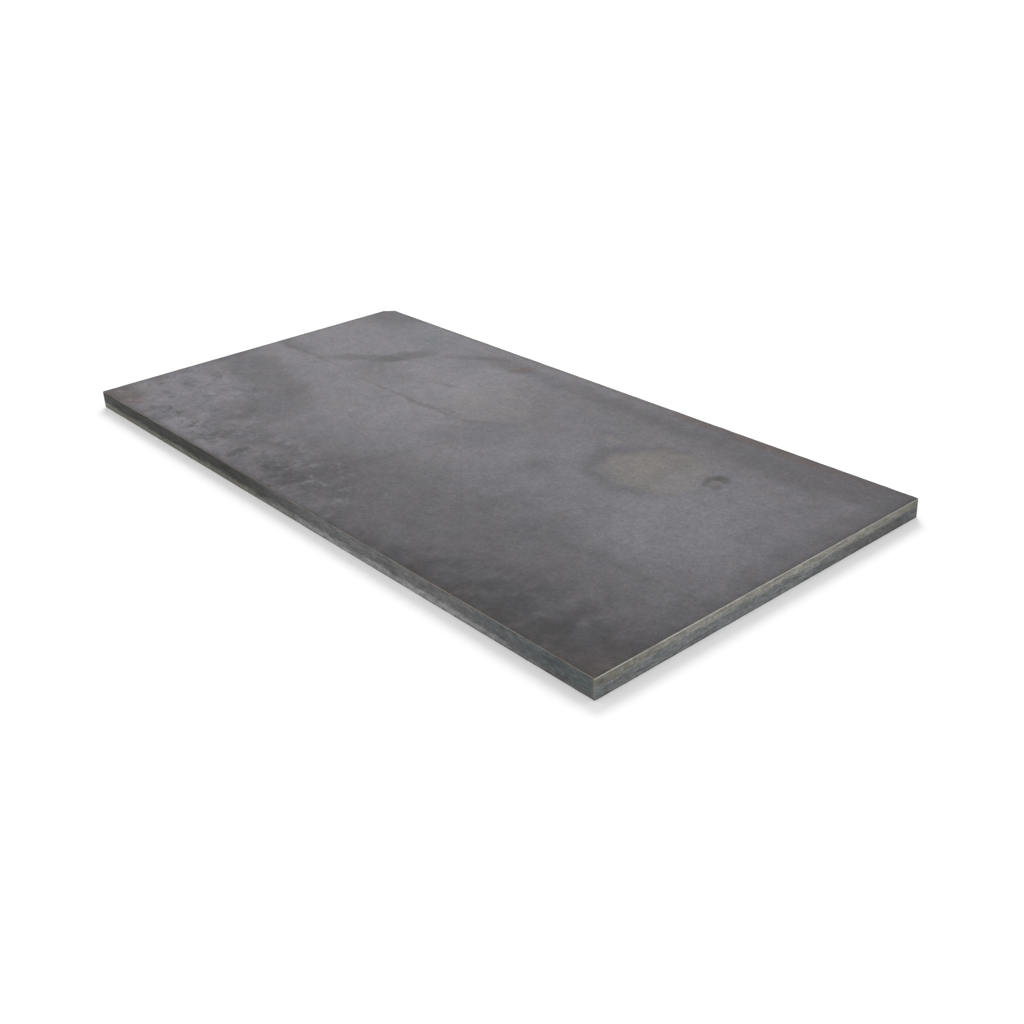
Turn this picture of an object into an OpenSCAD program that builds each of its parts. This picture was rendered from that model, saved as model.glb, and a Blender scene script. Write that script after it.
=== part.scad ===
// Hot-rolled steel plate, cut to size, with one corner clipped.
// Millimetres. The plate lies flat on its bottom face: +X runs along its length, which is the
// rolling direction, +Y across its width and +Z up. The origin is the centre of the bottom face.

/* [Plate] */
// Length, along the rolling direction
length = 500; // [150:10:1500]
// Width, across the rolling direction
width = 250; // [100:10:1000]
// Thickness of the rolled stock
thickness = 12; // [4:0.5:40]

/* [Clipped corner] */
// Leg of the 45 degree cut that takes off the corner at -X +Y
clip_leg = 7; // [3:0.5:40]

/* [Edges] */
// Radius of the arris that the cut rolled over, round the top face
top_arris = 0.6; // [0.2:0.1:1.5]
// Radius of the broken arris round the bottom face
bottom_arris = 0.3; // [0.1:0.1:1.5]
// Radius of the upright corners
corner_radius = 0.5; // [0.2:0.1:1.1]

/* [Hidden] */
$fn = 64;

// Corners of the cut outline, counterclockwise from -X -Y, with the clipped corner as its two ends.
outline = [
    [-length / 2, -width / 2],
    [length / 2, -width / 2],
    [length / 2, width / 2],
    [-length / 2 + clip_leg, width / 2],
    [-length / 2, width / 2 - clip_leg],
];
sides = len(outline);
reach = length + width;

// Each side runs from the corner of its number to the next one. The outline turns left at every
// corner, so a side's outward direction lies a quarter turn to the right of its run.
function corner(i) = outline[(i + sides) % sides];
function run(i) = corner(i + 1) - corner(i);
function outward(i) = [run(i).y, -run(i).x] / norm(run(i));
function outward_angle(i) = atan2(outward(i).y, outward(i).x);
function side_distance(i) = corner(i) * outward(i);

// Centre of the arc that rounds a corner, at corner_radius from both of the sides that meet there.
function arc_centre(i) =
    corner(i) - corner_radius * (outward(i - 1) + outward(i)) / (1 + outward(i - 1) * outward(i));

// The cut outline, with an arc at each corner.
module rounded_outline() {
    polygon([
        for (i = [0:sides - 1]) for (side = [i - 1, i])
            arc_centre(i) + corner_radius * outward(side)
    ]);
    for (i = [0:sides - 1])
        translate(arc_centre(i)) circle(corner_radius);
}

// Section across one cut edge, from far inside the plate to the edge at this distance from the
// origin: X is outward and Y is up.
module edge_section(distance) {
    polygon([
        [-reach, 0],
        [distance - bottom_arris, 0],
        [distance, bottom_arris],
        [distance, thickness - top_arris],
        [distance - top_arris, thickness],
        [-reach, thickness],
    ]);
    translate([distance - top_arris, thickness - top_arris]) circle(top_arris);
    translate([distance - bottom_arris, bottom_arris]) circle(bottom_arris);
}

// Everything on the inner side of one cut edge, with that edge's two arrises rounded.
module behind_edge(i) {
    rotate(outward_angle(i))
        rotate([90, 0, 0])
            linear_extrude(2 * reach, center = true) edge_section(side_distance(i));
}

module steel_plate() {
    color("dimgray")
        intersection() {
            linear_extrude(thickness) rounded_outline();
            behind_edge(0);
            behind_edge(1);
            behind_edge(2);
            behind_edge(3);
            behind_edge(4);
        }
}

steel_plate();
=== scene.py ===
"""A hot-rolled steel plate: its rolled relief, mill scale and cut edges, and the stage it lies on."""

import math
from collections import namedtuple

import bpy
from mathutils import Matrix, Quaternion, Vector


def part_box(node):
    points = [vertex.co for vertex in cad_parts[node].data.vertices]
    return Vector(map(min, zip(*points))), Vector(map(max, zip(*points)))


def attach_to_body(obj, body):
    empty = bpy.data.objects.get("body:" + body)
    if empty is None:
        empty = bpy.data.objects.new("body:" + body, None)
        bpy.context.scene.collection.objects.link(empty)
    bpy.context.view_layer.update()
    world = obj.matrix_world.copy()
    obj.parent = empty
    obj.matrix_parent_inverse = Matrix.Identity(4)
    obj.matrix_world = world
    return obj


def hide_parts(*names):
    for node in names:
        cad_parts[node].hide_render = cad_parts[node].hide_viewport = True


bl_info = {
    "name": "Hot-rolled Steel Plate",
    "version": (1, 0, 0),
    "blender": (4, 5, 0),
    "location": "View3D > Sidebar > Steel Plate",
    "description": "Gives a packed steel plate its relief, mill scale and cut edges, and lights it",
    "category": "Object",
}

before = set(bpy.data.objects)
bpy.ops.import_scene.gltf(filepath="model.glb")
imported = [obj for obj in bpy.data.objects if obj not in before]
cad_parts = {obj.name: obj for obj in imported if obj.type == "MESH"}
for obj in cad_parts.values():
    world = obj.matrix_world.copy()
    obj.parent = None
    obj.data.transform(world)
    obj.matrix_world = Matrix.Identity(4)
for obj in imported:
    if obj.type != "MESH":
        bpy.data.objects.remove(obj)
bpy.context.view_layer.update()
LOW, HIGH = (Vector(corner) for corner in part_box("steel_plate"))
SIZE = HIGH - LOW
MIDDLE = (LOW + HIGH) / 2

MM = 0.001  # metres in a millimetre

# How far a face's normal rises. Past FLAT the face is rolled, and the rest was cut. Waves and
# dents lie past LEVEL, the cut's ridges below UPRIGHT, and the arrises' wear between them.
FLAT = 0.93
LEVEL = 0.98
UPRIGHT = 0.3

# Inputs and output of a Mix node, which are numbered by the kind of value that it mixes.
COLOUR_BELOW, COLOUR_ABOVE, COLOUR_OUT = 6, 7, 2
VECTOR_BELOW, VECTOR_ABOVE, VECTOR_OUT = 4, 5, 1


# ---------------------------------------------------------------- sizes and colours


def linear(hex_colour):
    """The linear red, green, blue and alpha of an sRGB colour written as #RRGGBB."""
    shares = [int(hex_colour[i:i + 2], 16) / 255 for i in (1, 3, 5)]
    return (*(s / 12.92 if s <= 0.04045 else ((s + 0.055) / 1.055) ** 2.4 for s in shares), 1.0)


def tone(name, description, hex_colour):
    """A colour that a user may change."""
    return bpy.props.FloatVectorProperty(
        name=name, description=description, default=linear(hex_colour), size=4, min=0, max=1,
        subtype="COLOR")


def size(name, description, default):
    """A length that a user may change, in metres."""
    return bpy.props.FloatProperty(
        name=name, description=description, default=default, min=0, precision=5,
        subtype="DISTANCE", unit="LENGTH")


class PlateSizes(bpy.types.PropertyGroup):
    """Sizes of the plate's cut and relief that its box doesn't give."""
    clip_leg: size("Clip leg", "Leg of the 45 degree cut at the back left corner", 7 * MM)
    clip_cells: bpy.props.IntProperty(
        name="Clip cells", description="Mesh cells along the clip's leg, which size all cells",
        default=3, min=1, max=4)
    top_arris: size("Top arris", "Radius that the cut rolled over round the top face", 0.6 * MM)
    bottom_arris: size("Bottom arris", "Radius of the broken arris round the bottom", 0.3 * MM)
    upright_arris: size("Upright arris", "Radius of the upright corners", 0.5 * MM)
    wave_depth: size("Wave depth", "Depth of the rolled faces' long waves", 0.08 * MM)
    dent_depth: size("Dent depth", "Depth of the dents where scale was rolled in", 0.35 * MM)
    arris_wear: size("Arris wear", "How far the arrises are worn inwards", 0.15 * MM)
    ridge_depth: size("Ridge depth", "Depth of the lengthwise ridges that the cut left", 0.1 * MM)


class ScaleTones(bpy.types.PropertyGroup):
    """Colours of the mill scale on the rolled faces."""
    body: tone("Body", "Most of the scale", "#5F5C61")
    # Light also lies broadly over the back left of the top as painted sheen.
    light: tone("Light", "Thin, bluish scale", "#6D6B71")
    # Painted highlights of the dents, in the dented corner and strip.
    pale: tone("Pale", "Worn highlights in the mottled corner", "#747178")
    slate: tone("Slate", "Thick scale", "#444145")
    # Dark also lies broadly over the front right of the top as painted shade.
    dark: tone("Dark", "Thick brown-grey scale towards the front corner", "#2B2928")
    tan: tone("Tan", "Blotches where the scale came off early", "#6F6861")
    olive: tone("Olive", "Dark marks of rolled-in scale", "#323126")
    plum: tone("Plum", "Violet clouds in the mottled corner", "#403B43")
    cool: tone("Cool", "Bluish patches of the fine mottle", "#525A63")
    warm: tone("Warm", "Brownish patches of the fine mottle", "#61585A")
    rust: tone("Rust", "Rust along the edges", "#5A4238")


class CutTones(bpy.types.PropertyGroup):
    """Colours of the cut faces and their arrises."""
    # Charcoal on the front is partly painted shade, Sand on the right side partly painted light, and
    # the front's lighter Moss and Chalk below partly a painted reflection of the floor.
    charcoal: tone("Charcoal", "Sooty upper part of the front edge", "#2B2B29")
    moss: tone("Moss", "Olive lower part of the front edge", "#74736A")
    ash: tone("Ash", "Plain grey middle of the front edge", "#69696A")
    chalk: tone("Chalk", "Light grey lower part of the front edge", "#9A9A9C")
    teal: tone("Teal", "Heat-tinted steel near the front corner", "#555B5D")
    sand: tone("Sand", "Burnished upper part of the right edge", "#919089")
    mist: tone("Mist", "Torn lower part of the right edge", "#7C7F80")
    # These two are painted highlights on the arrises, where the metal is worn.
    bare_glint: tone("Bare", "Bare steel on the right edge's arris", "#CFCBC3")
    bronze_glint: tone("Bronze", "Dull arris of the front edge", "#9A9185")
    near_black: tone("Soot", "Dark streaks, and the line along the bottom", "#2E2E2B")
    rust: tone("Rust", "Rust spots low on the cut", "#5A4238")


class StageSetup(bpy.types.PropertyGroup):
    """The floor, the light and the camera."""
    floor: tone("Floor", "White of the floor", "#F2F2F2")
    floor_side: size("Floor side", "Side of the floor", 40.0)
    glow: bpy.props.FloatProperty(
        name="Glow", description="Light that comes up through the floor", default=0.27, min=0)
    sky: bpy.props.FloatProperty(
        name="Sky", description="Strength of the white surround", default=0.62, min=0)
    key: bpy.props.FloatProperty(
        name="Key", description="Strength of the big softbox far behind the plate", default=1.2,
        min=0)
    key_spread: bpy.props.FloatProperty(
        name="Key spread", description="Angle that the softbox fills, seen from the plate",
        default=math.radians(22), subtype="ANGLE")
    lens: bpy.props.FloatProperty(
        name="Lens", description="Focal length on a 36 mm sensor, in millimetres", default=45.34)


# ---------------------------------------------------------------- node helpers


def add(tree, kind, inputs=None, **settings):
    """Adds a node with its settings. A value for an input is linked if it is a node or an output."""
    node = tree.nodes.new(kind)
    for name, value in settings.items():
        setattr(node, name, value)
    for name, value in (inputs or {}).items():
        if isinstance(value, bpy.types.Node):
            value = value.outputs[0]
        if isinstance(value, bpy.types.NodeSocket):
            tree.links.new(value, node.inputs[name])
        else:
            node.inputs[name].default_value = value
    return node


def new_geometry_tree(name, inputs):
    """A geometry tree with its named inputs, and the outputs of the node that brings them in."""
    tree = bpy.data.node_groups.new(name, "GeometryNodeTree")
    tree.interface.new_socket("Geometry", in_out="INPUT", socket_type="NodeSocketGeometry")
    for label, kind in inputs.items():
        tree.interface.new_socket(label, in_out="INPUT", socket_type=kind)
    tree.interface.new_socket("Geometry", in_out="OUTPUT", socket_type="NodeSocketGeometry")
    return tree, add(tree, "NodeGroupInput").outputs


def attach(piece, tree, values):
    """Adds a geometry tree to a piece as a modifier, with its inputs set by identifier."""
    modifier = piece.modifiers.new(tree.name, "NODES")
    modifier.node_group = tree
    for item in tree.interface.items_tree:
        if item.in_out == "INPUT" and item.name in values:
            modifier[item.identifier] = values[item.name]


def new_finish(name):
    """A material with a Principled shader, its tree, and places on the piece in millimetres."""
    finish = bpy.data.materials.new(name)
    finish.use_nodes = True
    tree = finish.node_tree
    tree.nodes.clear()
    shader = add(tree, "ShaderNodeBsdfPrincipled")
    add(tree, "ShaderNodeOutputMaterial", {"Surface": shader})
    here = add(tree, "ShaderNodeTexCoord").outputs["Object"]
    place = add(tree, "ShaderNodeVectorMath", {0: here, "Scale": 1 / MM}, operation="SCALE")
    return finish, tree, shader, place


def coat(tree, colour, coats):
    """Lays coats over a colour, one after another. Each is a mask from 0 to 1 and a colour."""
    for mask, tint in coats:
        colour = add(tree, "ShaderNodeMix", {0: mask, COLOUR_BELOW: colour, COLOUR_ABOVE: tint},
                     data_type="RGBA").outputs[COLOUR_OUT]
    return colour


def clouds(tree, place, grain, low, high, most=1.0, detail=4.0):
    """A mask from 0 to most, in patches of about grain millimetres where noise passes low."""
    noise = add(tree, "ShaderNodeTexNoise", {
        "Vector": place, "Scale": 1 / grain, "Detail": detail, "Roughness": 0.6})
    return add(tree, "ShaderNodeMapRange", {
        "Value": noise, "From Min": low, "From Max": high, "To Max": most},
        interpolation_type="SMOOTHSTEP")


def mottle(tree, colour, place, grains):
    """A colour made lighter and darker in patches. Each grain is a size and a share of change."""
    for grain, share in grains:
        patches = add(tree, "ShaderNodeTexNoise", {
            "Vector": place, "Scale": 1 / grain, "Detail": 3.0, "Roughness": 0.6})
        shade = add(tree, "ShaderNodeMapRange", {
            "Value": patches, "From Min": 0.3, "From Max": 0.7, "To Min": 1 - share,
            "To Max": 1 + share})
        colour = add(tree, "ShaderNodeVectorMath", {0: colour, "Scale": shade}, operation="SCALE")
    return colour.outputs[0]


def drift(tree, place, reach, grain):
    """The place, moved about by a smooth pattern of that grain, up to reach millimetres."""
    noise = add(tree, "ShaderNodeTexNoise", {"Vector": place, "Scale": 1 / grain, "Detail": 3.0})
    swing = add(tree, "ShaderNodeVectorMath", {
        0: noise.outputs["Color"], 1: (0.5, 0.5, 0.5)}, operation="SUBTRACT")
    swing = add(tree, "ShaderNodeVectorMath", {
        0: swing, 1: (2 * reach, 2 * reach, 0)}, operation="MULTIPLY")
    return add(tree, "ShaderNodeVectorMath", {0: place, 1: swing}, operation="ADD")


# ---------------------------------------------------------------- where the top face is marked

# A mark on the top face: its centre, size and turn in millimetres and degrees, how much of it
# is soft rim, its strength, and its colour if it has one.
Stain = namedtuple("Stain", "x y length width turn soft strength tone")

# A scab of scale that the rolls pressed in, and the front left corner and the strip along the
# front, which are dented and mottled.
SCAB = Stain(157, 63, 12, 13, 20, 0.5, 0.85, None)
DENTED = (
    Stain(-195, -92, 170, 110, 0, 1.0, 0.9, None),
    Stain(-60, -104, 200, 54, 0, 1.0, 0.9, None),
)


def stain_mask(tree, place, stain, ragged=0.0):
    """Its strength inside a stain's ellipse, easing to 0 over its soft rim.

    Ragged is added to the distance from the middle, as a share of the radius, where the rim
    is all soft, and less where it is sharper.
    """
    local = add(tree, "ShaderNodeVectorMath", {0: place, 1: (stain.x, stain.y, 0)},
                operation="SUBTRACT")
    local = add(tree, "ShaderNodeVectorRotate", {
        "Vector": local, "Angle": math.radians(-stain.turn)}, rotation_type="Z_AXIS")
    local = add(tree, "ShaderNodeVectorMath", {
        0: local, 1: (2 / stain.length, 2 / stain.width, 0)}, operation="MULTIPLY")
    out = add(tree, "ShaderNodeVectorMath", {0: local}, operation="LENGTH").outputs["Value"]
    out = add(tree, "ShaderNodeMath", {0: ragged, 1: stain.soft, 2: out},
              operation="MULTIPLY_ADD")
    # The thousandth gives a stain without a soft rim a range to ease over.
    return add(tree, "ShaderNodeMapRange", {
        "Value": out, "From Min": 1 + stain.soft / 2, "From Max": 1 - stain.soft / 2 - 0.001,
        "To Min": 0.0, "To Max": stain.strength}, interpolation_type="SMOOTHSTEP")


def dented_area(tree, place, ragged=0.0):
    """A mask of the dented corner and strip."""
    corner, strip = (stain_mask(tree, place, area, ragged) for area in DENTED)
    return add(tree, "ShaderNodeMath", {0: corner, 1: strip}, operation="MAXIMUM")


# ---------------------------------------------------------------- the plate's shape


def block_tree():
    """A gridded block, centred on the origin, with its back left corner clipped.

    A whole number of cells fits along the clip's leg. A point on one of the two sides, within
    a leg of the corner, slides parallel to the corner's diagonal onto the line of the clip, and
    the points behind it follow less and less, over three legs.
    """
    tree, given = new_geometry_tree("Clipped block", {
        "Size": "NodeSocketVector", "Clip Leg": "NodeSocketFloat", "Cell": "NodeSocketFloat",
        "Bottom Weight": "NodeSocketFloat", "Upright Weight": "NodeSocketFloat",
        "Finish": "NodeSocketMaterial"})

    # Cells are square on the rolled faces and half as high on the cut ones.
    cells = add(tree, "ShaderNodeVectorMath", {0: given["Size"], 1: given["Cell"]},
                operation="DIVIDE")
    counts = add(tree, "ShaderNodeVectorMath", {0: cells, 1: (1, 1, 2), 2: (1.5, 1.5, 1.5)},
                 operation="MULTIPLY_ADD")
    counts = add(tree, "ShaderNodeVectorMath", {0: counts}, operation="FLOOR")
    counts = add(tree, "ShaderNodeSeparateXYZ", {0: counts}).outputs
    block = add(tree, "GeometryNodeMeshCube", {
        "Size": given["Size"], "Vertices X": counts["X"], "Vertices Y": counts["Y"],
        "Vertices Z": counts["Z"]})

    # Distances from the left and back sides.
    spot = add(tree, "GeometryNodeInputPosition")
    corner = add(tree, "ShaderNodeVectorMath", {0: given["Size"], 1: (-0.5, 0.5, 0)},
                 operation="MULTIPLY")
    inwards = add(tree, "ShaderNodeVectorMath", {0: spot, 1: corner}, operation="SUBTRACT")
    inwards = add(tree, "ShaderNodeVectorMath", {0: inwards}, operation="ABSOLUTE")
    inwards = add(tree, "ShaderNodeSeparateXYZ", {0: inwards}).outputs
    near = add(tree, "ShaderNodeMath", {0: inwards["X"], 1: inwards["Y"]}, operation="MINIMUM")
    skew = add(tree, "ShaderNodeMath", {0: inwards["X"], 1: inwards["Y"]}, operation="SUBTRACT")
    skew = add(tree, "ShaderNodeMath", {0: skew}, operation="ABSOLUTE")

    half_leg = add(tree, "ShaderNodeMath", {0: given["Clip Leg"], 1: 0.5}, operation="MULTIPLY")
    three_legs = add(tree, "ShaderNodeMath", {0: given["Clip Leg"], 1: 3.0}, operation="MULTIPLY")
    slide = add(tree, "ShaderNodeMapRange", {
        "Value": skew, "From Max": given["Clip Leg"], "To Min": half_leg, "To Max": 0.0})
    slide = add(tree, "ShaderNodeMapRange", {
        "Value": near, "From Max": three_legs, "To Min": slide, "To Max": 0.0})
    slide = add(tree, "ShaderNodeVectorMath", {0: (1, -1, 0), "Scale": slide}, operation="SCALE")
    clipped = add(tree, "GeometryNodeSetPosition", {"Geometry": block, "Offset": slide})

    # Sharp edges get the weight of their arris: 1 at the top, less at the bottom and upright.
    # The height is 0.5 at the top and -0.5 at the bottom.
    angle = add(tree, "GeometryNodeInputMeshEdgeAngle").outputs["Unsigned Angle"]
    is_sharp = add(tree, "ShaderNodeMath", {0: angle, 1: math.radians(30)},
                   operation="GREATER_THAN")
    height = add(tree, "ShaderNodeVectorMath", {0: spot, 1: given["Size"]}, operation="DIVIDE")
    height = add(tree, "ShaderNodeSeparateXYZ", {0: height}).outputs["Z"]
    is_top = add(tree, "ShaderNodeMath", {0: height, 1: 0.499}, operation="GREATER_THAN")
    is_bottom = add(tree, "ShaderNodeMath", {0: height, 1: -0.499}, operation="LESS_THAN")
    weight = add(tree, "ShaderNodeMix", {0: is_top, 2: given["Upright Weight"], 3: 1.0})
    weight = add(tree, "ShaderNodeMix", {0: is_bottom, 2: weight, 3: given["Bottom Weight"]})
    weighted = add(tree, "GeometryNodeStoreNamedAttribute", {
        "Geometry": clipped, "Selection": is_sharp, "Name": "bevel_weight_edge",
        "Value": weight}, data_type="FLOAT", domain="EDGE")
    solid = add(tree, "GeometryNodeRealizeInstances", {0: weighted})
    finished = add(tree, "GeometryNodeSetMaterial", {
        "Geometry": solid, "Material": given["Finish"]})
    add(tree, "NodeGroupOutput", {0: finished})
    return tree


def relief_tree():
    """Rolled waves, dents, worn arrises and the ridges of the cut, all sunk into the block."""
    tree, given = new_geometry_tree("Rolled and cut relief", {
        "Wave Depth": "NodeSocketFloat", "Dent Depth": "NodeSocketFloat",
        "Arris Wear": "NodeSocketFloat", "Ridge Depth": "NodeSocketFloat",
        "Scale Finish": "NodeSocketMaterial", "Cut Finish": "NodeSocketMaterial",
        "Seed": "NodeSocketFloat"})
    spot = add(tree, "GeometryNodeInputPosition")
    place = add(tree, "ShaderNodeVectorMath", {0: spot, "Scale": 1 / MM}, operation="SCALE")
    seed = add(tree, "ShaderNodeCombineXYZ", {"X": given["Seed"]})
    place = add(tree, "ShaderNodeVectorMath", {0: place, 1: seed}, operation="ADD")
    facing = add(tree, "GeometryNodeInputNormal")
    facing_xyz = add(tree, "ShaderNodeSeparateXYZ", {0: facing}).outputs
    rising = add(tree, "ShaderNodeMath", {0: facing_xyz["Z"]}, operation="ABSOLUTE")

    # Where each kind of relief lies. A depth times one of these is how deep it goes there.
    is_rolled = add(tree, "ShaderNodeMath", {0: rising, 1: LEVEL}, operation="GREATER_THAN")
    is_top = add(tree, "ShaderNodeMath", {0: facing_xyz["Z"], 1: LEVEL},
                 operation="GREATER_THAN")
    is_cut = add(tree, "ShaderNodeMath", {0: rising, 1: UPRIGHT}, operation="LESS_THAN")
    is_flat = add(tree, "ShaderNodeMath", {0: is_rolled, 1: is_cut}, operation="MAXIMUM")
    is_arris = add(tree, "ShaderNodeMath", {0: 1.0, 1: is_flat}, operation="SUBTRACT")
    wave_depth, dent_depth, arris_wear, ridge_depth = (
        add(tree, "ShaderNodeMath", {0: given[depth], 1: where}, operation="MULTIPLY")
        for depth, where in (("Wave Depth", is_rolled), ("Dent Depth", is_top),
                             ("Arris Wear", is_arris), ("Ridge Depth", is_cut)))

    # Long waves of the rolls, twice as long in the rolling direction as across it.
    stretched = add(tree, "ShaderNodeVectorMath", {0: place, 1: (0.5, 1, 1)},
                    operation="MULTIPLY")
    waves = clouds(tree, stretched, 45, 0.25, 0.75, wave_depth, detail=2.0)

    # Dents crowd in the front left corner of the top face. Each cell of the pattern holds one.
    strewn = drift(tree, place, 5, 20)
    cells = add(tree, "ShaderNodeTexVoronoi", {
        "Vector": strewn, "Scale": 1 / 15, "Smoothness": 0.4}, feature="SMOOTH_F1")
    crowd = add(tree, "ShaderNodeMath", {0: dented_area(tree, place), 1: dent_depth},
                operation="MULTIPLY")
    dents = add(tree, "ShaderNodeMapRange", {
        "Value": cells, "From Min": 0.5, "From Max": 0.05, "To Max": crowd},
        interpolation_type="SMOOTHSTEP")

    # The scab has a crumbled floor.
    scab = stain_mask(tree, place, SCAB)
    scab = add(tree, "ShaderNodeMath", {0: scab, 1: dent_depth}, operation="MULTIPLY")
    scab = clouds(tree, place, 4, 0.35, 0.6, scab)

    # The arrises are worn unevenly, and the cut's ridges are long and low.
    wear = clouds(tree, place, 9, 0.3, 0.7, arris_wear)
    squeezed = add(tree, "ShaderNodeVectorMath", {0: place, 1: (0.1, 0.1, 1)},
                   operation="MULTIPLY")
    ridges = clouds(tree, squeezed, 2.4, 0.3, 0.7, ridge_depth)

    # All of it goes straight inwards.
    depth = waves
    for relief in (dents, scab, wear, ridges):
        depth = add(tree, "ShaderNodeMath", {0: depth, 1: relief}, operation="ADD")
    inwards = add(tree, "ShaderNodeVectorMath", {0: facing, "Scale": -1.0}, operation="SCALE")
    sunk = add(tree, "ShaderNodeVectorMath", {0: inwards, "Scale": depth}, operation="SCALE")

    # Which faces were cut is noted before the relief turns them.
    is_steep = add(tree, "ShaderNodeMath", {0: rising, 1: FLAT}, operation="LESS_THAN")
    noted = add(tree, "GeometryNodeStoreNamedAttribute", {
        "Geometry": given["Geometry"], "Name": "was_cut", "Value": is_steep},
        data_type="BOOLEAN", domain="FACE")
    was_cut = add(tree, "GeometryNodeInputNamedAttribute", {"Name": "was_cut"},
                  data_type="BOOLEAN").outputs["Attribute"]
    moved = add(tree, "GeometryNodeSetPosition", {"Geometry": noted, "Offset": sunk})
    smooth = add(tree, "GeometryNodeSetShadeSmooth", {"Geometry": moved})
    solid = add(tree, "GeometryNodeRealizeInstances", {0: smooth})
    rolled = add(tree, "GeometryNodeSetMaterial", {
        "Geometry": solid, "Material": given["Scale Finish"]})
    finished = add(tree, "GeometryNodeSetMaterial", {
        "Geometry": rolled, "Selection": was_cut, "Material": given["Cut Finish"]})
    add(tree, "NodeGroupOutput", {0: finished})
    return tree


# ---------------------------------------------------------------- where a point of a cut lies

Side = namedtuple("Side", "corner direction outward start length")


def cut_sides(clip_leg):
    """The plate's upright sides, counterclockwise from its front left corner."""
    corners = [
        Vector((LOW.x, LOW.y)), Vector((HIGH.x, LOW.y)), Vector((HIGH.x, HIGH.y)),
        Vector((LOW.x + clip_leg, HIGH.y)), Vector((LOW.x, HIGH.y - clip_leg))]
    sides = []
    start = 0.0
    for corner, following in zip(corners, corners[1:] + corners[:1]):
        run = following - corner
        direction = run.normalized()
        outward = Vector((direction.y, -direction.x))
        sides.append(Side(corner, direction, outward, start, run.length))
        start += run.length
    return sides


def place_on_side(point, side):
    """How far along a cut side a point lies, and how high once the arrises are unrolled."""
    flat_point = Vector((point.x, point.y))
    run = (flat_point - side.corner).dot(side.direction)
    inset = (side.corner - flat_point).dot(side.outward)
    return run, point.z - LOW.z + (inset if point.z > MIDDLE.z else -inset)


def lay_out(mesh, sides):
    """Unfolds the plate onto one square sheet, and notes where along the cut each corner lies.

    The rolled faces lie one above the other, with the cut sides as strips above them.
    """
    gap = 2 * MM
    arris_room = 1.5 * MM
    strip = SIZE.z + 2 * arris_room
    page = 2 * SIZE.y + 3 * strip + 6 * gap
    strip_rows = [2 * SIZE.y + 3 * gap + row * (strip + gap) for row in range(3)]
    front, right, back, clip, left = range(5)
    strip_place = {
        front: (gap, strip_rows[0]),
        back: (gap, strip_rows[1]),
        clip: (2 * gap + sides[back].length, strip_rows[1]),
        right: (gap, strip_rows[2]),
        left: (2 * gap + sides[right].length, strip_rows[2]),
    }
    # Both layers exist before either is filled, because adding one can move the other.
    mesh.uv_layers.new(name="OFBake")
    mesh.attributes.new("cut_place", "FLOAT_VECTOR", "CORNER")
    sheet = mesh.uv_layers["OFBake"]
    along_cut = mesh.attributes["cut_place"]
    was_cut = mesh.attributes["was_cut"]
    for face in mesh.polygons:
        is_cut = was_cut.data[face.index].value
        facing = Vector((face.normal.x, face.normal.y))
        number = max(range(len(sides)), key=lambda i: facing.dot(sides[i].outward))
        for corner in face.loop_indices:
            point = mesh.vertices[mesh.loops[corner].vertex_index].co
            if is_cut:
                run, rise = place_on_side(point, sides[number])
                across, up = strip_place[number]
                place = (across + run, up + arris_room + rise)
                along_cut.data[corner].vector = (
                    (sides[number].start + run) / MM, rise / MM, number)
            else:
                up = gap if face.normal.z > 0 else SIZE.y + 2 * gap
                place = (point.x - LOW.x + gap, point.y - LOW.y + up)
            sheet.data[corner].uv = (place[0] / page, place[1] / page)


# ---------------------------------------------------------------- finishes

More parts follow.
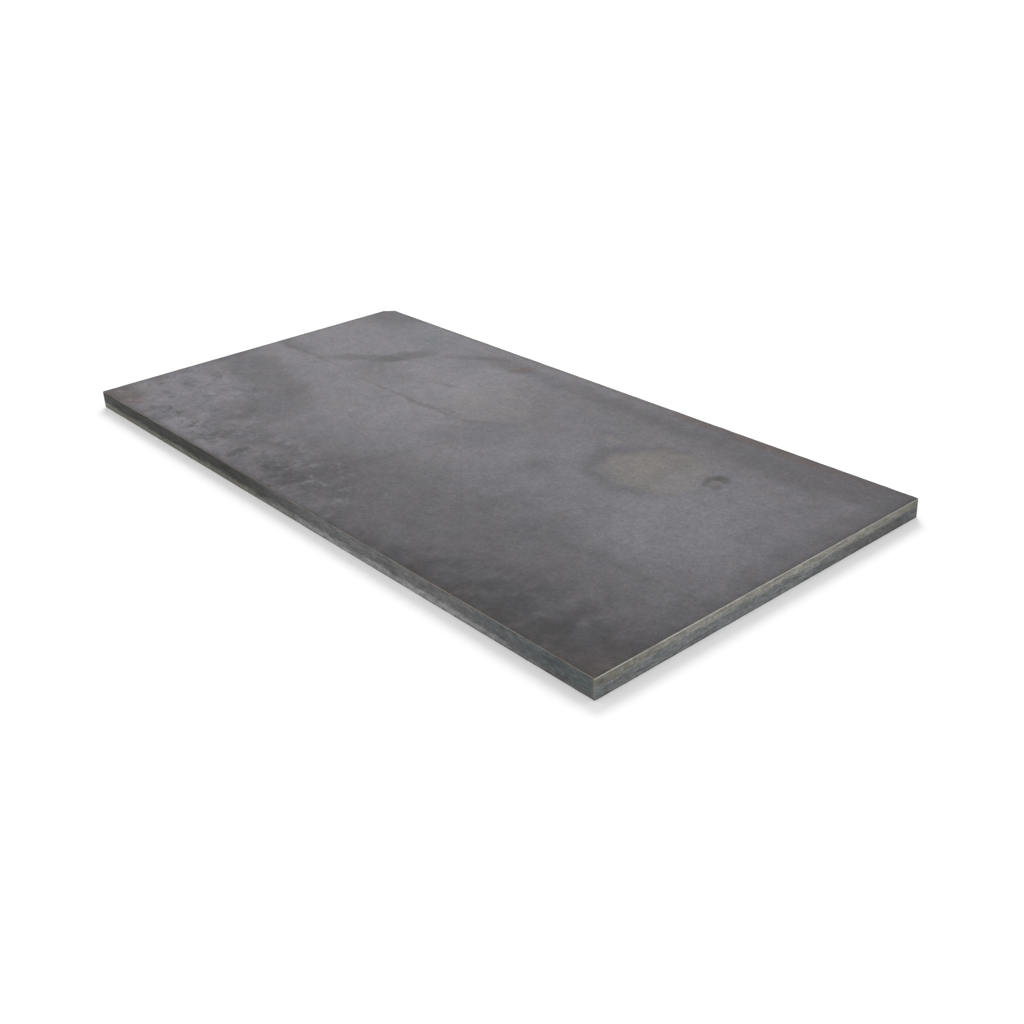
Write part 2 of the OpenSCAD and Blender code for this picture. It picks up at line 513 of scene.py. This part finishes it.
# Later marks lie over earlier ones.
STAINS = (
    # Broad changes in the scale's thickness, partly painted sheen and shade: the broad lighter stains
    # towards the back left and the darker ones towards the front right stand for how the light from
    # behind falls on the top.
    Stain(-165, 35, 380, 200, 0, 1.0, 0.48, "light"),
    Stain(-200, -80, 150, 100, 0, 1.0, 0.35, "light"),
    Stain(20, 75, 120, 70, 0, 1.0, 0.22, "slate"),
    Stain(120, -105, 460, 150, 4, 1.0, 0.56, "slate"),
    Stain(190, -140, 360, 100, 8, 1.0, 0.70, "dark"),
    Stain(258, 0, 52, 290, 0, 1.0, 0.50, "slate"),
    Stain(-250, 125, 90, 60, 0, 1.0, 0.50, "slate"),
    Stain(190, 112, 240, 46, 0, 0.9, 0.45, "slate"),
    Stain(0, 106, 220, 16, 0, 1.0, 0.35, "slate"),
    Stain(-195, -28, 130, 36, -6, 1.0, 0.44, "slate"),
    Stain(-135, -52, 60, 40, -50, 1.0, 0.34, "slate"),
    Stain(-150, -80, 36, 44, 20, 1.0, 0.34, "slate"),
    Stain(-190, -96, 50, 40, 0, 1.0, 0.40, "light"),
    Stain(0, 12, 44, 66, -30, 1.0, 0.25, "slate"),
    Stain(172, 10, 90, 110, 20, 1.0, 0.40, "light"),
    Stain(-140, 34, 50, 34, 0, 1.0, 0.20, "slate"),
    Stain(-100, 98, 60, 26, 25, 1.0, 0.15, "slate"),
    Stain(-238, 24, 44, 14, 0, 1.0, 0.30, "slate"),
    # A painted highlight in the dented strip.
    Stain(-130, -114, 90, 24, 0, 1.0, 0.40, "pale"),
    Stain(65, 8, 22, 18, 0, 0.9, 0.30, "slate"),
    Stain(130, -44, 150, 22, -3, 1.0, 0.12, "slate"),
    Stain(190, -46, 90, 7, 3, 1.0, 0.18, "olive"),
    Stain(140, 8, 240, 130, 0, 1.0, 0.16, "cool"),
    Stain(-75, 66, 70, 44, 10, 0.8, 0.25, "light"),
    Stain(-170, 100, 90, 30, 0, 1.0, 0.30, "cool"),
    # The round blotch, with its brighter half and the rim on its left and below.
    Stain(116, 46, 80, 66, 0, 0.35, 0.42, "slate"),
    Stain(121, 50, 66, 56, 0, 0.35, 0.50, "tan"),
    Stain(108, 46, 36, 38, 0, 1.0, 0.30, "tan"),
    Stain(142, 46, 26, 40, 0, 1.0, 0.30, "light"),
    # The rolled-in scab beside it: dark at its left and back, tan in the middle.
    Stain(154, 63, 8, 14, 15, 0.9, 0.50, "olive"),
    Stain(159, 68, 12, 6, -15, 0.9, 0.50, "olive"),
    Stain(162, 59, 6, 8, 40, 1.0, 0.35, "olive"),
    Stain(158, 62, 6, 7, 20, 1.0, 0.35, "tan"),
    # The fainter blotch, and the arc under it with its rusty specks.
    Stain(-28, 47, 58, 56, 0, 0.6, 0.26, "tan"),
    Stain(-66, 18, 110, 4, 1, 1.0, 0.25, "olive"),
    Stain(-8, 26, 40, 4, 32, 1.0, 0.15, "olive"),
    Stain(-40, 23, 26, 5, 4, 1.0, 0.30, "rust"),
    Stain(-78, 52, 22, 4, 14, 1.0, 0.30, "slate"),
    Stain(72, 64, 18, 7, -8, 0.9, 0.40, "tan"),
    # The crescent and its tail to the left side.
    Stain(-148, 66, 42, 16, 66, 1.0, 0.32, "olive"),
    Stain(-170, 41, 56, 15, 34, 1.0, 0.28, "olive"),
    Stain(-220, 19, 90, 4, 2, 1.0, 0.22, "olive"),
    Stain(-114, 95, 46, 8, 30, 1.0, 0.30, "slate"),
    Stain(-62, 107, 13, 18, -25, 1.0, 0.52, "rust"),
    # Dark clumps along the front side.
    Stain(-14, -92, 60, 36, -15, 1.0, 0.40, "slate"),
    Stain(-36, -108, 44, 16, 0, 1.0, 0.45, "dark"),
    Stain(-84, -112, 11, 18, 15, 1.0, 0.50, "dark"),
    Stain(-84, -92, 30, 8, 25, 1.0, 0.35, "slate"),
    Stain(-217, -116, 18, 14, 0, 1.0, 0.50, "rust"),
    Stain(-238, -104, 30, 16, 0, 1.0, 0.45, "tan"),
    Stain(-240, -120, 40, 26, 0, 1.0, 0.35, "olive"),
    Stain(-230, -117, 32, 16, 0, 1.0, 0.45, "rust"),
    # Brown tints along the back side, the left side and at the front corner.
    Stain(130, 122, 170, 12, 0, 1.0, 0.38, "rust"),
    Stain(120, 86, 60, 20, 12, 1.0, 0.12, "rust"),
    Stain(-252, -60, 20, 130, 0, 1.0, 0.25, "plum"),
    Stain(242, -118, 40, 26, 0, 1.0, 0.12, "rust"),
)


def creases(tree, place, grain, half_width, most):
    """A mask from 0 to most, in thin lines where noise of that grain is near its middle."""
    noise = add(tree, "ShaderNodeTexNoise", {
        "Vector": place, "Scale": 1 / grain, "Detail": 4.0, "Roughness": 0.6})
    off_middle = add(tree, "ShaderNodeMath", {0: noise, 1: 0.5}, operation="SUBTRACT")
    off_middle = add(tree, "ShaderNodeMath", {0: off_middle}, operation="ABSOLUTE")
    return add(tree, "ShaderNodeMapRange", {
        "Value": off_middle, "From Min": half_width, "From Max": 0.0, "To Max": most})


def rim(tree, place, width, most):
    """A mask that falls from most at the plate's sides to 0 at that many millimetres inside."""
    inside = add(tree, "ShaderNodeVectorMath", {0: place}, operation="ABSOLUTE")
    inside = add(tree, "ShaderNodeVectorMath", {0: SIZE / 2 / MM, 1: inside},
                 operation="SUBTRACT")
    inside = add(tree, "ShaderNodeSeparateXYZ", {0: inside}).outputs
    inside = add(tree, "ShaderNodeMath", {0: inside["X"], 1: inside["Y"]}, operation="MINIMUM")
    return add(tree, "ShaderNodeMapRange", {
        "Value": inside, "From Max": width, "To Min": most, "To Max": 0.0})


def mill_scale(tones):
    """Hot-rolled steel under mill scale, the dense iron oxide that the hot rolls press flat.

    It is a dark blue-grey skin with a dull sheen, cloudy where it is thicker, with tan blotches
    where it flaked while hot and a fine pebbled grain.
    """
    finish, tree, shader, place = new_finish("Hot-rolled steel, mill scale")

    # The bottom face takes its pattern from far away, so that it isn't the top face again and
    # has none of its marks.
    height = add(tree, "ShaderNodeSeparateXYZ", {0: place}).outputs["Z"]
    is_top = add(tree, "ShaderNodeMath", {0: height, 1: MIDDLE.z / MM}, operation="GREATER_THAN")
    level = add(tree, "ShaderNodeVectorMath", {0: place, 1: (1, 1, 0)}, operation="MULTIPLY")
    away = add(tree, "ShaderNodeVectorMath", {0: level, 1: (930, 710, 0)}, operation="ADD")
    spot = add(tree, "ShaderNodeMix", {0: is_top, VECTOR_BELOW: away, VECTOR_ABOVE: level},
               data_type="VECTOR").outputs[VECTOR_OUT]

    # Broad clouds, faint on the top, which has its marks, and bands in the rolling direction.
    rolled = add(tree, "ShaderNodeVectorMath", {0: spot, 1: (0.12, 1, 1)}, operation="MULTIPLY")
    cloudy = add(tree, "ShaderNodeMix", {0: is_top, 2: 0.7, 3: 0.12})
    coats = [
        (clouds(tree, spot, 70, 0.40, 0.70, cloudy), tones.light),
        (clouds(tree, drift(tree, spot, 9, 30), 34, 0.45, 0.75, cloudy), tones.slate),
        (clouds(tree, rolled, 12, 0.45, 0.75, 0.14), tones.slate),
    ]

    # Two wandering places, far apart, so that the patches of one don't lie on the other's.
    wander = drift(tree, spot, 3, 12)
    elsewhere = add(tree, "ShaderNodeVectorMath", {0: wander, 1: (400, 90, 0)}, operation="ADD")

    # Marks, with outlines that wander by some millimetres and ragged rims. In the dented area they
    # lie on plum patches and on lighter patches, which are painted highlights of the dents.
    marked = drift(tree, spot, 5, 24)
    ragged = add(tree, "ShaderNodeTexNoise", {
        "Vector": spot, "Scale": 1 / 40, "Detail": 8.0, "Roughness": 0.72})
    ragged = add(tree, "ShaderNodeMapRange", {
        "Value": ragged, "From Min": 0.25, "From Max": 0.75, "To Min": -0.55, "To Max": 0.55})
    dented = dented_area(tree, marked, ragged)
    coats += [
        (clouds(tree, wander, 30, 0.42, 0.72, dented), tones.pale),
        (clouds(tree, elsewhere, 26, 0.46, 0.74, dented), tones.plum),
    ]
    coats += [
        (stain_mask(tree, marked, stain, ragged), getattr(tones, stain.tone)) for stain in STAINS
    ]

    # Smaller and weaker patches lie over the marks there, with creases in some places.
    weaker = add(tree, "ShaderNodeMath", {0: dented, 1: 0.7}, operation="MULTIPLY")
    creased = clouds(tree, wander, 45, 0.50, 0.66, weaker)
    coats += [
        (clouds(tree, wander, 12, 0.48, 0.72, weaker), tones.light),
        (clouds(tree, elsewhere, 9, 0.50, 0.76, weaker), tones.slate),
        (creases(tree, elsewhere, 18, 0.05, creased), tones.dark),
    ]

    # Thicker scale along the sides with rust freckles, and tinted patches all over.
    coats += [
        (rim(tree, place, 4.0, 0.4), tones.olive),
        (clouds(tree, spot, 5, 0.52, 0.68, rim(tree, place, 12.0, 0.4)), tones.rust),
        (clouds(tree, elsewhere, 26, 0.40, 0.70, 0.20), tones.cool),
        (clouds(tree, wander, 11, 0.45, 0.75, 0.30), tones.warm),
    ]
    colour = coat(tree, tones.body, coats)
    colour = mottle(tree, colour, spot, ((28, 0.05), (8, 0.07), (3, 0.10), (1.4, 0.14)))
    tree.links.new(colour, shader.inputs["Base Color"])

    # Thick, dark scale is rougher than thin scale.
    shader.inputs["Metallic"].default_value = 0.3
    roughness = add(tree, "ShaderNodeMapRange", {
        "Value": colour, "From Min": 0.02, "From Max": 0.15, "To Min": 0.78, "To Max": 0.58})
    tree.links.new(roughness.outputs[0], shader.inputs["Roughness"])

    # The pebbled grain, on swells of 7 mm. Real scale is grained finer than shows at this
    # distance, so its grains are drawn at 1.6 mm.
    swells = add(tree, "ShaderNodeBump", {
        "Height": clouds(tree, wander, 7, 0.2, 0.8), "Distance": 0.06 * MM, "Strength": 1.0})
    grains = add(tree, "ShaderNodeBump", {
        "Height": clouds(tree, spot, 1.6, 0.2, 0.8), "Distance": 0.02 * MM, "Strength": 1.0,
        "Normal": swells})
    tree.links.new(grains.outputs[0], shader.inputs["Normal"])
    return finish


def streaks(tree, cut_place, long, tall, low, high, most=1.0):
    """A mask from 0 to most, in streaks along the cut of that length and height in millimetres."""
    squeezed = add(tree, "ShaderNodeVectorMath", {
        0: cut_place, 1: (1 / long, 1 / tall, 7.0)}, operation="MULTIPLY")
    return clouds(tree, squeezed, 1.0, low, high, most, detail=3.0)


# Colours of the cut at a share of a side's length: the burnished top, the middle and the torn bottom.
# The sides are numbered as cut_sides gives them: front, right, back, clip and left. The front is
# darker than the right side partly as painted shade, and its lower band lighter partly as a painted
# reflection of the white floor.
Zone = namedtuple("Zone", "side share top middle bottom")
ZONES = (
    Zone(0, 0.00, "charcoal", "charcoal", "moss"),
    Zone(0, 0.38, "charcoal", "charcoal", "moss"),
    Zone(0, 0.58, "ash", "ash", "chalk"),
    Zone(0, 0.80, "ash", "ash", "chalk"),
    Zone(0, 0.94, "teal", "teal", "ash"),
    Zone(0, 0.995, "teal", "teal", "ash"),
    Zone(1, 0.005, "moss", "mist", "mist"),
    Zone(1, 0.25, "sand", "mist", "mist"),
    Zone(1, 0.60, "sand", "mist", "mist"),
    Zone(1, 0.80, "sand", "ash", "ash"),
    Zone(1, 0.99, "moss", "teal", "ash"),
    Zone(2, 0.01, "ash", "ash", "mist"),
    Zone(2, 0.30, "charcoal", "charcoal", "moss"),
    Zone(2, 0.70, "ash", "teal", "mist"),
    Zone(2, 0.95, "charcoal", "charcoal", "moss"),
    Zone(4, 0.02, "sand", "ash", "moss"),
    Zone(4, 0.60, "ash", "ash", "mist"),
    Zone(4, 1.00, "charcoal", "charcoal", "moss"),
)


def zone_ramps(tree, tones, sides, run):
    """Colour ramps along the outline for the top, the middle and the bottom of the cut."""
    outline = (sides[-1].start + sides[-1].length) / MM
    share = add(tree, "ShaderNodeMath", {0: run, 1: outline}, operation="DIVIDE")
    places = [
        (sides[zone.side].start + zone.share * sides[zone.side].length) / MM / outline
        for zone in ZONES
    ]
    ramps = []
    for band in ("top", "middle", "bottom"):
        ramp = add(tree, "ShaderNodeValToRGB", {0: share})
        stops = ramp.color_ramp.elements
        # A new ramp has its first and last stops already, at 0 and 1.
        for place in places[1:-1]:
            stops.new(place)
        for stop, zone in zip(stops, ZONES):
            stop.color = getattr(tones, getattr(zone, band))
        ramps.append(ramp)
    return ramps


def arris_line(tree, run, rise, is_past, corner):
    """A line along the top arris, and how bright it is along its run, as masks from 0 to 1.

    It is a painted highlight, brightest past the front right corner and at the front's left end.
    Along the front it lies higher on the arris and is wider.
    """
    height = SIZE.z / MM
    line_rise = add(tree, "ShaderNodeMix", {0: is_past, 2: height + 0.1, 3: height - 0.35})
    half_line = add(tree, "ShaderNodeMix", {0: is_past, 2: 0.60, 3: 0.40})
    off_line = add(tree, "ShaderNodeMath", {0: rise, 1: line_rise}, operation="SUBTRACT")
    off_line = add(tree, "ShaderNodeMath", {0: off_line}, operation="ABSOLUTE")
    line = add(tree, "ShaderNodeMapRange", {
        "Value": off_line, "From Min": half_line, "From Max": 0.15},
        interpolation_type="SMOOTHSTEP")
    left_end = add(tree, "ShaderNodeMapRange", {
        "Value": run, "From Max": 0.3 * corner, "To Min": 1.0, "To Max": 0.4})
    front = add(tree, "ShaderNodeMapRange", {
        "Value": run, "From Min": 0.3 * corner, "From Max": 0.8 * corner, "To Min": left_end,
        "To Max": 0.9})
    past = add(tree, "ShaderNodeMapRange", {
        "Value": run, "From Min": corner + 60, "From Max": corner + 200, "To Min": 1.0,
        "To Max": 0.55})
    glint_strength = add(tree, "ShaderNodeMix", {0: is_past, 2: front, 3: past})
    return line, glint_strength


def cut_steel(tones, sides):
    """Steel as the shear left it: burnished above, torn and heat-tinted below.

    Streaks run along the edge, the top arris is worn to the metal with a painted highlight, and the
    bottom one is darkened.
    """
    finish, tree, shader, _ = new_finish("Carbon steel, sheared edge")
    cut_place = add(tree, "ShaderNodeAttribute", attribute_name="cut_place").outputs["Vector"]
    xyz = add(tree, "ShaderNodeSeparateXYZ", {0: cut_place}).outputs
    run, rise = xyz["X"], xyz["Y"]
    corner = sides[1].start / MM
    top, middle, bottom = zone_ramps(tree, tones, sides, run)

    # The bands meet along lines that waver by a millimetre and fray.
    waver = streaks(tree, cut_place, 26, 9, 0.25, 0.75, 1.8)
    fray = streaks(tree, cut_place, 7, 2, 0.3, 0.7, 1.0)
    wavered = add(tree, "ShaderNodeMath", {0: rise, 1: waver}, operation="ADD")
    wavered = add(tree, "ShaderNodeMath", {0: wavered, 1: fray}, operation="ADD")
    is_middle, is_top = (
        add(tree, "ShaderNodeMapRange", {
            "Value": wavered, "From Min": start * SIZE.z / MM, "From Max": end * SIZE.z / MM},
            interpolation_type="SMOOTHSTEP")
        for start, end in ((0.30, 0.55), (0.61, 0.83)))

    # Rust spots crowd low on the cut, and streaks and tears of four sizes lie all over it.
    low_down = add(tree, "ShaderNodeMapRange", {
        "Value": rise, "From Min": 1.0, "From Max": 6.0, "To Min": 0.6, "To Max": 0.1})
    colour = coat(tree, bottom, [
        (is_middle, middle),
        (is_top, top),
        (streaks(tree, cut_place, 24, 1.8, 0.50, 0.72, 0.35), tones.near_black),
        (streaks(tree, cut_place, 7, 1.8, 0.56, 0.70, low_down), tones.rust),
    ])
    torn = add(tree, "ShaderNodeVectorMath", {0: cut_place, 1: (0.25, 1, 40)},
               operation="MULTIPLY")
    colour = mottle(tree, colour, torn, ((4, 0.22), (1.6, 0.24), (0.8, 0.20), (0.4, 0.15)))

    # A dark line along the bottom, and painted highlights on worn metal up the front right corner and
    # on the top arris.
    bottom_line = add(tree, "ShaderNodeMapRange", {
        "Value": rise, "From Min": 0.9, "From Max": 0.1, "To Max": 0.7})
    off_corner = add(tree, "ShaderNodeMath", {0: run, 1: corner}, operation="SUBTRACT")
    off_corner = add(tree, "ShaderNodeMath", {0: off_corner}, operation="ABSOLUTE")
    upright_glint = add(tree, "ShaderNodeMapRange", {
        "Value": off_corner, "From Min": 1.2, "From Max": 0.3, "To Max": 0.35})
    is_past = add(tree, "ShaderNodeMath", {0: run, 1: corner}, operation="GREATER_THAN")
    top_line, glint_strength = arris_line(tree, run, rise, is_past, corner)
    # Worn metal on the top arris, with its painted highlight.
    worn = add(tree, "ShaderNodeMath", {0: glint_strength, 1: top_line}, operation="MULTIPLY")
    colour = coat(tree, colour, [
        (bottom_line, tones.near_black),
        (upright_glint, tones.bronze_glint),
        (streaks(tree, cut_place, 22, 50, 0.1, 0.6, worn),
         coat(tree, tones.bronze_glint, [(is_past, tones.bare_glint)])),
    ])
    tree.links.new(colour, shader.inputs["Base Color"])

    # Worn metal shines a little more than the rest.
    shader.inputs["Metallic"].default_value = 0.4
    shader.inputs["Specular IOR Level"].default_value = 0.3
    rough = add(tree, "ShaderNodeMapRange", {
        "Value": streaks(tree, cut_place, 15, 2, 0.3, 0.7), "To Min": 0.46, "To Max": 0.6})
    rough = add(tree, "ShaderNodeMix", {0: top_line, 2: rough, 3: 0.4})
    tree.links.new(rough.outputs[0], shader.inputs["Roughness"])

    scratches = add(tree, "ShaderNodeBump", {
        "Height": streaks(tree, cut_place, 9, 0.8, 0.2, 0.8), "Distance": 0.03 * MM,
        "Strength": 1.0})
    tree.links.new(scratches.outputs[0], shader.inputs["Normal"])
    return finish


def lit_floor(colour, glow):
    """Opal acrylic lit a little from below: an even white that takes light, soft shadows."""
    finish, _, shader, _ = new_finish("Opal acrylic, cast sheet")
    shader.inputs["Base Color"].default_value = colour
    shader.inputs["Emission Color"].default_value = colour
    shader.inputs["Emission Strength"].default_value = glow
    shader.inputs["Roughness"].default_value = 0.9
    shader.inputs["Specular IOR Level"].default_value = 0.1
    return finish


# ---------------------------------------------------------------- operators

WHITE = (1, 1, 1, 1)

# Where the light and the camera are, from the plate's middle and in metres. The camera's turn is
# its azimuth, elevation and roll in degrees.
BRIGHT_SIDE = Vector((-0.6, 0.6, 0.5)).normalized()
SOFTBOX_PLACE = Vector((-0.72, 0.6, 0.85))
CAMERA_PLACE = Vector((0.5959, -0.4509, 0.3311))
CAMERA_TURN = (49.33, 25.54, -2.28)
CAMERA_SHIFT = (-0.0243, -0.0313)


class PLATE_OT_finish(bpy.types.Operator):
    """Builds the plate with its relief and finishes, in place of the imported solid"""
    bl_idname = "plate.finish"
    bl_label = "Finish Plate"

    def execute(self, context):
        sizes = context.scene.plate_sizes
        sides = cut_sides(sizes.clip_leg)
        scale = mill_scale(context.scene.plate_scale)
        cut = cut_steel(context.scene.plate_cut, sides)

        mesh = roll_and_cut(context, sizes, scale, cut)
        if not mesh.polygons:
            raise RuntimeError("the plate's geometry tree made no faces")
        mesh.name = "rolled_plate"
        mesh.transform(Matrix.Translation(MIDDLE))
        lay_out(mesh, sides)

        plate = bpy.data.objects.new("rolled_plate", mesh)
        context.scene.collection.objects.link(plate)
        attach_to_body(plate, "root")
        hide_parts("steel_plate")
        return {"FINISHED"}


def roll_and_cut(context, sizes, scale, cut):
    """The plate's mesh, centred on the origin: a clipped block, its arrises, then its relief."""
    blank = bpy.data.objects.new("blank", bpy.data.meshes.new("blank"))
    context.scene.collection.objects.link(blank)
    attach(blank, block_tree(), {
        "Size": SIZE, "Clip Leg": sizes.clip_leg, "Cell": sizes.clip_leg / sizes.clip_cells,
        "Bottom Weight": sizes.bottom_arris / sizes.top_arris,
        "Upright Weight": sizes.upright_arris / sizes.top_arris, "Finish": scale})
    arris = blank.modifiers.new("Arris", "BEVEL")
    arris.limit_method = "WEIGHT"
    arris.width = sizes.top_arris
    arris.segments = 4
    arris.use_clamp_overlap = False
    attach(blank, relief_tree(), {
        "Wave Depth": sizes.wave_depth, "Dent Depth": sizes.dent_depth,
        "Arris Wear": sizes.arris_wear, "Ridge Depth": sizes.ridge_depth,
        "Scale Finish": scale, "Cut Finish": cut, "Seed": 0.0})
    blank.modifiers.new("Even normals", "WEIGHTED_NORMAL")

    depsgraph = context.evaluated_depsgraph_get()
    mesh = bpy.data.meshes.new_from_object(
        blank.evaluated_get(depsgraph), preserve_all_data_layers=True, depsgraph=depsgraph)
    bpy.data.objects.remove(blank)

    # The block's own mesh had no finish, which leaves an empty slot before the others.
    slots = [face.material_index for face in mesh.polygons]
    used = sorted(set(slots))
    finishes = [mesh.materials[slot] for slot in used]
    mesh.materials.clear()
    for finish in finishes:
        mesh.materials.append(finish)
    mesh.polygons.foreach_set("material_index", [used.index(slot) for slot in slots])
    return mesh


class PLATE_OT_stage(bpy.types.Operator):
    """Lays a white floor under the plate, and sets the surround, the softbox and the camera"""
    bl_idname = "plate.stage"
    bl_label = "Set Stage"

    def execute(self, context):
        setup = context.scene.plate_stage
        half = setup.floor_side / 2
        mesh = bpy.data.meshes.new("floor")
        mesh.from_pydata(
            [(-half, -half, LOW.z), (half, -half, LOW.z), (half, half, LOW.z),
             (-half, half, LOW.z)], [], [(0, 1, 2, 3)])
        mesh.materials.append(lit_floor(setup.floor, setup.glow))
        floor = bpy.data.objects.new("floor", mesh)
        context.scene.collection.objects.link(floor)

        light_the_room(context.scene, setup)
        place_camera(context.scene, setup)
        return {"FINISHED"}


def light_the_room(scene, setup):
    """A surround that looks evenly white, lights more from behind, and one big softbox."""
    room = bpy.data.worlds.new("White surround")
    room.use_nodes = True
    tree = room.node_tree
    tree.nodes.clear()
    way = add(tree, "ShaderNodeTexCoord").outputs["Generated"]
    behind = add(tree, "ShaderNodeVectorMath", {0: way, 1: BRIGHT_SIDE},
                 operation="DOT_PRODUCT").outputs["Value"]
    strength = add(tree, "ShaderNodeMapRange", {
        "Value": behind, "From Min": -1.0, "From Max": 1.0, "To Min": setup.sky * 0.75,
        "To Max": setup.sky * 1.25})
    lighting = add(tree, "ShaderNodeBackground", {"Color": WHITE, "Strength": strength})

    # The camera itself sees an even white, a little over full so that it stays clean.
    seen = add(tree, "ShaderNodeBackground", {"Color": WHITE, "Strength": 1.1})
    is_seen = add(tree, "ShaderNodeLightPath").outputs["Is Camera Ray"]
    surround = add(tree, "ShaderNodeMixShader", {0: is_seen, 1: lighting, 2: seen})
    add(tree, "ShaderNodeOutputWorld", {"Surface": surround})
    scene.world = room

    lamp = bpy.data.lights.new("softbox", "SUN")
    lamp.energy = setup.key
    lamp.angle = setup.key_spread
    softbox = bpy.data.objects.new("softbox", lamp)
    softbox.location = MIDDLE + SOFTBOX_PLACE
    softbox.rotation_mode = "QUATERNION"
    softbox.rotation_quaternion = (MIDDLE - softbox.location).to_track_quat("-Z", "Y")
    scene.collection.objects.link(softbox)


def place_camera(scene, setup):
    """A camera in front of the plate's front right corner, looking down over its length."""
    lens = bpy.data.cameras.new("camera")
    lens.sensor_width = 36
    lens.lens = setup.lens
    lens.shift_x, lens.shift_y = CAMERA_SHIFT
    lens.clip_start = 0.01
    lens.clip_end = 100
    camera = bpy.data.objects.new("camera", lens)
    camera.location = MIDDLE + CAMERA_PLACE
    azimuth, elevation, roll = (math.radians(angle) for angle in CAMERA_TURN)
    back = Vector((math.sin(azimuth) * math.cos(elevation),
                   -math.cos(azimuth) * math.cos(elevation), math.sin(elevation)))
    camera.rotation_mode = "QUATERNION"
    camera.rotation_quaternion = (
        (-back).to_track_quat("-Z", "Y") @ Quaternion((0, 0, 1), roll))
    scene.collection.objects.link(camera)
    scene.camera = camera
    scene.view_settings.view_transform = "Standard"


class PLATE_PT_sidebar(bpy.types.Panel):
    """Lists the plate's sizes and colours, and the buttons that build it"""
    bl_label = "Steel Plate"
    bl_idname = "PLATE_PT_sidebar"
    bl_space_type = "VIEW_3D"
    bl_region_type = "UI"
    bl_category = "Steel Plate"

    def draw(self, context):
        for operator in OPERATORS:
            self.layout.operator(operator.bl_idname)
        for name, group in GROUPS.items():
            box = self.layout.box()
            for field in group.__annotations__:
                box.prop(getattr(context.scene, name), field)


GROUPS = {
    "plate_sizes": PlateSizes,
    "plate_scale": ScaleTones,
    "plate_cut": CutTones,
    "plate_stage": StageSetup,
}
OPERATORS = (PLATE_OT_finish, PLATE_OT_stage)


def register():
    for kind in (*GROUPS.values(), *OPERATORS, PLATE_PT_sidebar):
        bpy.utils.register_class(kind)
    for name, group in GROUPS.items():
        setattr(bpy.types.Scene, name, bpy.props.PointerProperty(type=group))


def unregister():
    for name in GROUPS:
        delattr(bpy.types.Scene, name)
    for kind in (PLATE_PT_sidebar, *reversed(OPERATORS), *reversed(GROUPS.values())):
        bpy.utils.unregister_class(kind)


def main():
    register()
    bpy.ops.plate.finish()
    bpy.ops.plate.stage()


if __name__ == "__main__":
    main()
